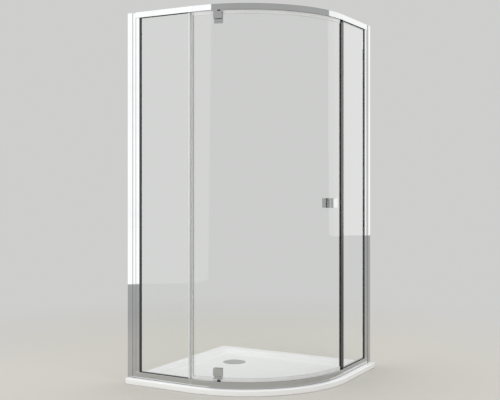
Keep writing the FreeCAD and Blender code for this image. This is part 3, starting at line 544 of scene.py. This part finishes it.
finished(softened(upright(side["edgeSeal"], *plan["sealHeights"]), *side["sealEdge"]), "edgeSealLeft", "enclosure",
         ["left_edge_seal"], clearSeal, otherFinish=clearFin,
         otherPart=lambda middle: middle.x > side["bodyEnd"])
finished(softened(upright(side["magnetSeal"], *plan["sealHeights"]), *side["frameEdge"]), "magnetSealRight",
         "enclosure", ["right_magnet_seal"], magnetSeal, mirrored=True)

caps = []
for z in side["lockHeights"]:
    cap = softened(turned(side["lockCap"], (0, 0), side["lockSteps"]), *side["gasketEdge"])
    bmesh.ops.rotate(cap, cent=(0, 0, 0), matrix=Matrix.Rotation(-math.pi / 2, 3, "X"), verts=cap.verts)
    bmesh.ops.translate(cap, vec=(side["lockX"], rail["depth"] - plan["faceLine"], z), verts=cap.verts)
    caps.append(bothSides(cap))
finished(gathered(caps), "lockScrewCaps", "enclosure", ["lock_screw_caps"], nylon)
print("side panels ready")

# Door
door = {
    "glassHeights": (74.0, 1888.0),
    "sweep": [(7, 62.6), (8, 62.6), (8, 71), (14, 71), (14, 62.6), (15, 62.6), (15, 82), (14, 82), (14, 74),
              (8, 74), (8, 82), (7, 82)],
    "sweepShort": (-89.2, -78.514),
    "sweepLong": (-73.486, -1.6156),
    "edgeStrip": rectangle(-102, -100, 8, 15),
    "edgeStripLeg": (rectangle(14, 15, 82, 1880), -90.0, -88.77),
    "magnet": [(-110, 3), (-92, 3), (-92, 8), (-100, 8), (-100, 14), (-92, 14), (-92, 19), (-110, 19)],
    "span": (-90.0, 0.0),
    "glassEdge": (0.5, 2),
    "sweepEdge": (0.25, 2),
    "stripEdge": (0.4, 2),
    "magnetEdge": (0.8, 3),
}

finished(softened(arcRun(rectangle(*plan["glass"], *door["glassHeights"]), *door["span"]), *door["glassEdge"]),
         "doorGlass", "door", ["door_glass"], glass)
for level, loop in (("bottom", door["sweep"]), ("top", turnedOver(door["sweep"]))):
    for length in ("short", "long"):
        finished(softened(arcRun(loop, *door["sweep" + length.title()]), *door["sweepEdge"]),
                 f"{level}Seal{length.title()}", "door", [f"door_{level}_seal_{length}"], clearSeal)
finished(gathered([softened(upright(door["edgeStrip"], *door["glassHeights"]), *door["stripEdge"]),
                   arcRun(*door["edgeStripLeg"])]), "edgeStrip", "door", ["door_edge_strip"], clearFin)
finished(softened(upright(door["magnet"], *door["glassHeights"]), *door["magnetEdge"]), "magnetSealDoor", "door",
         ["door_magnet_seal"], magnetSeal, mirrored=True)
print("door ready")

# Hinge clamps and pivots
hinge = plan["hingeAngle"]
clamp = {"width": 43.0, "outer": (-3.0, 7.0), "plates": ((91.0, 127.0), (1858.0, 1894.0)), "edge": (1.2, 3),
         "innerEdge": (0.4, 2, 50), "padWidth": 42.0, "pads": ((7.0, 8.0), (14.0, 15.0)), "padEdge": (0.2, 1),
         "bushEdge": (0.5, 3), "washerEdge": (0.4, 2), "screwSpacing": 24.0, "screwDepth": 30.8,
         "screwHead": (4.4, 2.6, 2.4), "grubHeights": (77.0, 1886.0), "grubHead": (1.95, 1.5, 1.1),
         "bushLoop": [(4.05, 0), (9, 0), (9, 3.7), (4.05, 3.7)], "washerLoop": [(4, 66), (8, 66), (8, 69), (4, 69)],
         "blockScrew": (4.0, 1.8, 2.1), "blockSpacing": 36.0, "blockProud": 0.3}

for name, node, heights in (("clampOuterLower", "lower_clamp_outer", clamp["plates"][0]),
                            ("clampOuterUpper", "upper_clamp_outer", clamp["plates"][1])):
    block = softened(flatBlock(clamp["width"], *clamp["outer"], *heights), *clamp["edge"])
    finished(wrapped(block, hinge, plan["pinDepth"]), name, "door", [node], chrome)
for name, node in (("clampInnerLower", "lower_clamp_inner"), ("clampInnerUpper", "upper_clamp_inner")):
    finished(softened(refinedNode(node), *clamp["innerEdge"]), name, "door", [node], chrome)
pads = [wrapped(softened(flatBlock(clamp["padWidth"], *depths, *heights), *clamp["padEdge"]), hinge, plan["pinDepth"])
        for heights in clamp["plates"] for depths in clamp["pads"]]
finished(gathered(pads), "clampPads", "door", ["clamp_gaskets"], darkRubber)


def socketScrew(radius, height, socket):
    # a screw's head with a six-sided socket, its face at z 0 and looking up
    chamfer, socketShare, steps, sides = 0.35, 0.6, 36, 6
    bm = bmesh.new()
    loops = [circleLoop(bm, (0, 0), size, z, segments) for size, z, segments in (
        (radius, -height, steps), (radius, -chamfer, steps), (radius - chamfer, 0, steps), (socket, 0, sides),
        (socket, -height * socketShare, sides))]
    for low, high in zip(loops, loops[1:]):
        bmesh.ops.bridge_loops(bm, edges=low + high)
    for loop in (loops[0], loops[-1]):
        bmesh.ops.edgeloop_fill(bm, edges=loop)
    return bm


def facing(bm, way, place):
    turn = Vector((0, 0, 1)).rotation_difference(way).to_matrix()
    bmesh.ops.rotate(bm, cent=(0, 0, 0), matrix=turn, verts=bm.verts)
    bmesh.ops.translate(bm, vec=place, verts=bm.verts)
    return bm


def inwards(angle):
    a = math.radians(angle)
    return Vector((-math.cos(a), -math.sin(a), 0))


def alongDoor(angle, distance):
    a = math.radians(angle)
    return Vector((-math.sin(a), math.cos(a), 0)) * distance


screws = [facing(socketScrew(*clamp["screwHead"]), inwards(hinge),
                 onCurve(hinge, clamp["screwDepth"], sum(heights) / 2)
                 + alongDoor(hinge, way * clamp["screwSpacing"] / 2))
          for heights in clamp["plates"] for way in (-1, 1)]
finished(gathered(screws), "clampScrews", "door", ["clamp_screws"], steel)
grubs = [facing(socketScrew(*clamp["grubHead"]), inwards(hinge), onCurve(hinge, clamp["screwDepth"], z))
         for z in clamp["grubHeights"]]
finished(gathered(grubs), "pinGrubScrews", "door", ["pin_grub_screws"], steel)

pivot = onCurve(hinge, plan["pinDepth"])
for name, node, z, way in (("bushLower", "lower_pivot_bush", plan["railBottom"][1], 1),
                           ("bushUpper", "upper_pivot_bush", plan["railTop"][0], -1)):
    loop = [(radius, z + way * height) for radius, height in clamp["bushLoop"]]
    finished(softened(turned(loop, pivot), *clamp["bushEdge"]), name, "enclosure", [node], nylon)
finished(softened(turned(clamp["washerLoop"], pivot), *clamp["washerEdge"]), "thrustWasher", "door",
         ["lower_thrust_washer"], nylon)
blockScrews = []
for z, way in ((plan["railBottom"][1], 1), (plan["railTop"][0], -1)):
    for at in (-1, 1):
        place = onCurve(hinge, plan["pinDepth"], z + way * clamp["blockProud"])
        place += alongDoor(hinge, at * clamp["blockSpacing"] / 2)
        blockScrews.append(facing(socketScrew(*clamp["blockScrew"]), Vector((0, 0, way)), place))
finished(gathered(blockScrews), "pivotBlockScrews", "enclosure", ["pivot_block_screws"], steel)
print("hinge ready")

# Handle
handle = {"angle": -11.7, "width": 60.0, "wall": 4.0, "base": 3.0, "bend": 7.0, "heights": (916.0, 965.0),
          "outer": (7.0, -22.0), "inner": (15.0, 44.0), "edge": (0.8, 3, 50), "bendSteps": 10, "longEdge": 30.0,
          "cuts": 7, "padWidth": 59.0, "pads": ((7.0, 8.0), (14.0, 15.0)), "padEdge": (0.2, 1),
          "glassDepth": 8.0, "screwDepth": 20.5, "screwSpacing": 32.0, "screwHead": (4.2, 2.4, 2.2)}


def gripLoop(bm, near, far, halfWidth, bend):
    # one outline of the bent bar, with cuts on its long sides so that it can follow the door
    z = handle["heights"][0]
    before = set(bm.edges)
    face = bm.faces.new([bm.verts.new((x, y, z)) for x, y in
                         ((-halfWidth, near), (halfWidth, near), (halfWidth, far), (-halfWidth, far))])
    corners = [v for v in face.verts if abs(v.co.y - far) < nearly]
    bmesh.ops.bevel(bm, geom=corners, offset=bend, offset_type="OFFSET", segments=handle["bendSteps"], profile=0.5,
                    affect="VERTICES", clamp_overlap=False, material=-1)
    bmesh.ops.delete(bm, geom=list(bm.faces), context="FACES_ONLY")
    long = [e for e in bm.edges if e not in before and e.calc_length() > handle["longEdge"]]
    bmesh.ops.subdivide_edges(bm, edges=long, cuts=handle["cuts"])
    return [e for e in bm.edges if e not in before]


def gripShape(near, far):
    bm = bmesh.new()
    way = 1 if far > near else -1
    half = handle["width"] / 2
    outline = gripLoop(bm, near, far, half, handle["bend"])
    gap = gripLoop(bm, near + way * handle["base"], far - way * handle["wall"], half - handle["wall"],
                   handle["bend"] - handle["wall"])
    ring = facesOf(bmesh.ops.bridge_loops(bm, edges=outline + gap)["faces"])
    made = bmesh.ops.extrude_face_region(bm, geom=ring)["geom"]
    low, high = handle["heights"]
    bmesh.ops.translate(bm, vec=(0, 0, high - low), verts=vertsOf(made))
    return wrapped(softened(bm, *handle["edge"]), handle["angle"], handle["glassDepth"])


for name, node, depths in (("outerHandle", "outer_handle", handle["outer"]),
                           ("innerHandle", "inner_handle", handle["inner"])):
    finished(gripShape(*depths), name, "door", [node], chrome)
pads = [wrapped(softened(flatBlock(handle["padWidth"], *depths, *handle["heights"]), *handle["padEdge"]),
                handle["angle"], handle["glassDepth"]) for depths in handle["pads"]]
finished(gathered(pads), "handlePads", "door", ["handle_gaskets"], darkRubber)
middle = sum(handle["heights"]) / 2
screws = [facing(socketScrew(*handle["screwHead"]), inwards(handle["angle"]),
                 onCurve(handle["angle"], handle["screwDepth"], middle)
                 + alongDoor(handle["angle"], way * handle["screwSpacing"] / 2)) for way in (-1, 1)]
finished(gathered(screws), "handleScrews", "door", ["handle_screws"], steel)
print("handle ready")

# CAD nodes that show as they are
carriedOver = {
    "steel": (steel, ["hair_strainer", "lower_pivot_pin", "upper_pivot_pin", "profile_lock_screws",
                      "rail_end_screws"]),
    "nylon": (nylon, ["lower_pivot_block", "upper_pivot_block", "rail_joiners", "rail_end_connectors"]),
    "dark_gasket": (darkRubber, ["waste_gasket"]),
}
for slotName, (finish, names) in carriedOver.items():
    for name in names:
        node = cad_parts[name]
        node.data.materials.clear()
        node.data.materials.append(finish)

# Studio
studio = {
    "floorRadius": 14.0,
    "floorSteps": 96,
    "floorColour": (0.56, 0.545, 0.50),
    "floorRoughness": 0.7,
    "backdrop": (0.62, 0.62, 0.615),
    "fade": (1.1, 3.2),  # where the floor passes into the backdrop
    "ambient": 0.79,
    # place, size, power, and whether metal and glass mirror it
    "lamps": (("keyLamp", (-2.5, -3.5, 1.9), 4.0, 58.0, True), ("fillLamp", (3.2, -1.6, 2.8), 2.0, 22.0, False),
              ("topLamp", (-0.2, 0.2, 4.2), 2.4, 44.0, False), ("backLamp", (2.6, 3.6, 1.9), 3.0, 26.0, True)),
    "lookAt": (0.0, 0.0, 0.6),
}


def grey(value):
    return (*value, 1) if isinstance(value, tuple) else (value, value, value, 1)


def passing(tree, value, limits):
    # 0 before the first limit, 1 after the second
    return addNode(tree, "ShaderNodeMapRange", {"Value": value, "From Min": limits[0], "From Max": limits[1]},
                   interpolation_type="SMOOTHSTEP").outputs[0]


def seenRays(tree):
    # the camera sees the plain background, and so do metal and glass
    path = addNode(tree, "ShaderNodeLightPath").outputs
    direct = addNode(tree, "ShaderNodeMath", {0: path["Is Camera Ray"], 1: path["Is Transmission Ray"]},
                     operation="MAXIMUM").outputs[0]
    return addNode(tree, "ShaderNodeMath", {0: direct, 1: path["Is Glossy Ray"]}, operation="MAXIMUM").outputs[0]


def studioWorld():
    world = bpy.data.worlds.new("studio")
    scene.world = world
    world.use_nodes = True
    tree = world.node_tree
    shown = mixed(tree, seenRays(tree), grey(studio["ambient"]), grey(studio["backdrop"]))
    tree.links.new(shown, tree.nodes["Background"].inputs["Color"])


def studioFloor():
    bm = bmesh.new()
    bmesh.ops.create_circle(bm, cap_ends=True, radius=studio["floorRadius"], segments=studio["floorSteps"])
    mesh = bpy.data.meshes.new("studioFloor")
    bm.to_mesh(mesh)
    bm.free()
    floor = bpy.data.objects.new("studioFloor", mesh)
    scene.collection.objects.link(floor)
    made = bpy.data.materials.new("paleFloor")
    made.use_nodes = True
    tree = made.node_tree
    shader = tree.nodes["Principled BSDF"]
    shader.inputs["Base Color"].default_value = (*studio["floorColour"], 1)
    shader.inputs["Roughness"].default_value = studio["floorRoughness"]
    place = addNode(tree, "ShaderNodeTexCoord").outputs["Object"]
    far = addNode(tree, "ShaderNodeVectorMath", {0: place}, operation="LENGTH").outputs["Value"]
    both = addNode(tree, "ShaderNodeMath", {0: passing(tree, far, studio["fade"]), 1: seenRays(tree)},
                   operation="MULTIPLY")
    glow = addNode(tree, "ShaderNodeEmission", {"Color": grey(studio["backdrop"])})
    blend = addNode(tree, "ShaderNodeMixShader", {0: both.outputs[0]})
    tree.links.new(shader.outputs[0], blend.inputs[1])
    tree.links.new(glow.outputs[0], blend.inputs[2])
    tree.links.new(blend.outputs[0], tree.nodes["Material Output"].inputs["Surface"])
    mesh.materials.append(made)


def studioLamps():
    for name, place, size, power, mirrored in studio["lamps"]:
        lamp = bpy.data.lights.new(name, "AREA")
        lamp.size = size
        lamp.energy = power
        holder = bpy.data.objects.new(name, lamp)
        holder.location = place
        holder.rotation_euler = (Vector(studio["lookAt"]) - Vector(place)).to_track_quat("-Z", "Y").to_euler()
        holder.visible_camera = False
        holder.visible_transmission = False
        holder.visible_glossy = mirrored
        scene.collection.objects.link(holder)


studioWorld()
studioFloor()
studioLamps()
scene.view_settings.view_transform = "Standard"

# Camera
view = {"place": (2.239, -4.0744, 1.066), "turn": 0.5082, "sensor": 36.0, "lens": 61.74, "shiftY": -0.0429}
lens = bpy.data.cameras.new("camera")
lens.sensor_width = view["sensor"]
lens.lens = view["lens"]
lens.shift_y = view["shiftY"]
camera = bpy.data.objects.new("camera", lens)
camera.location = view["place"]
camera.rotation_euler = (math.pi / 2, 0, view["turn"])
scene.collection.objects.link(camera)
scene.camera = camera
print("studio ready")
